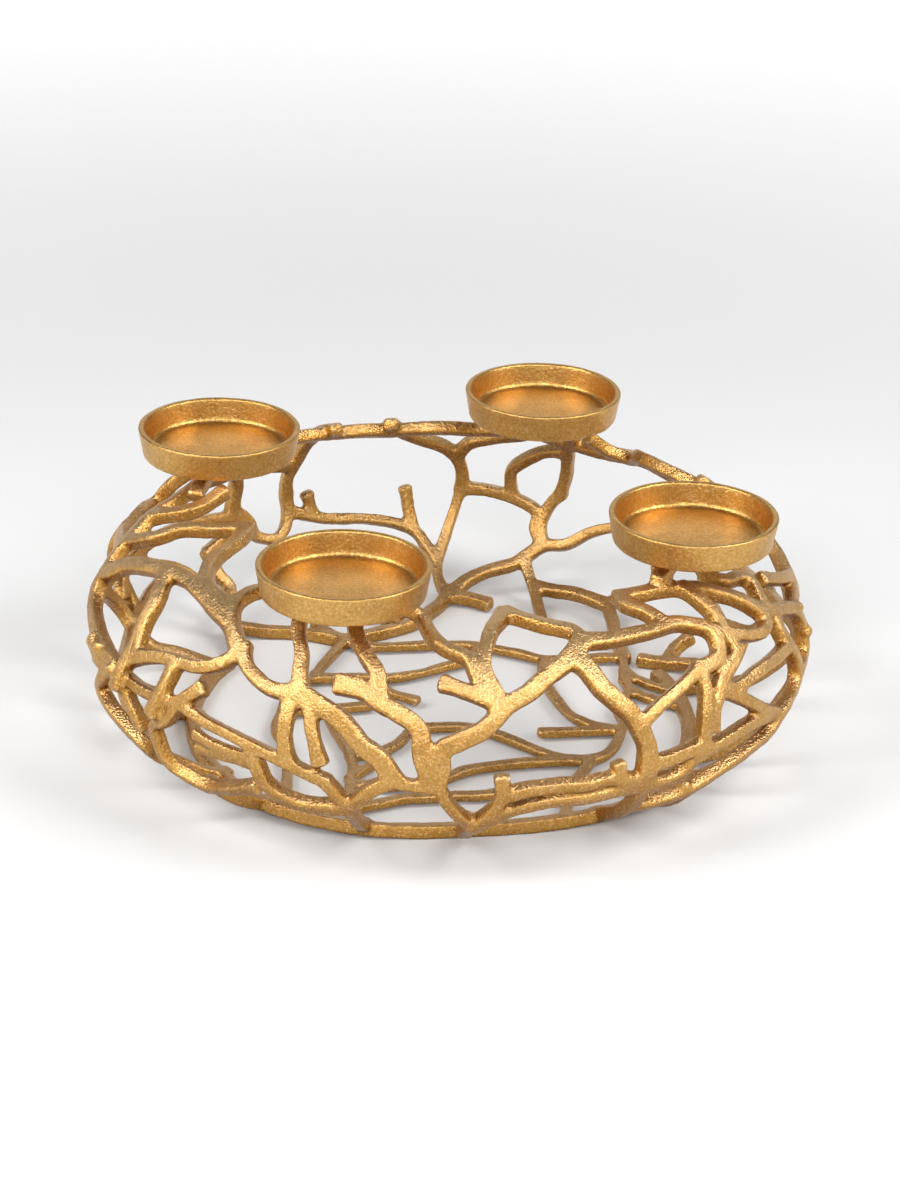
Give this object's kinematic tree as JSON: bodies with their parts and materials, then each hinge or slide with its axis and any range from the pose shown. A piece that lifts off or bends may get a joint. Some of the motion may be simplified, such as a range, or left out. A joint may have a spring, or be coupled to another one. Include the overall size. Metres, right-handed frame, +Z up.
{
  "type": "branch-ring candle holder",
  "caption": "Open ring of cast metal branches, round and bowl-shaped, with shallow round cups on its rim for pillar candles.",
  "frame": {"origin": "middle of the foot ring, on the surface that the holder stands on", "axes": "+Z up, -Y towards the front of the pictured view, +X to its right"},
  "size_m": [0.4005, 0.401, 0.151],
  "materials": {
    "gold_branches": "sand-cast aluminium with a gold coating, ground smooth on the outer faces of the branches",
    "gold_cups": "sand-cast aluminium with a gold coating, satin with a fine grain"
  },
  "bodies": {
    "root": {"floor_casting": "gold_branches", "lower_left_casting": "gold_branches", "lower_back_casting": "gold_branches", "lower_front_casting": "gold_branches", "lower_right_casting": "gold_branches", "upper_left_casting": "gold_branches", "upper_back_casting": "gold_branches", "upper_front_casting": "gold_branches", "upper_right_casting": "gold_branches", "candle_cup_right": "gold_cups", "candle_cup_back_right": "gold_cups", "candle_cup_back_left": "gold_cups", "candle_cup_front_left": "gold_cups"}
  },
  "joints": []
}
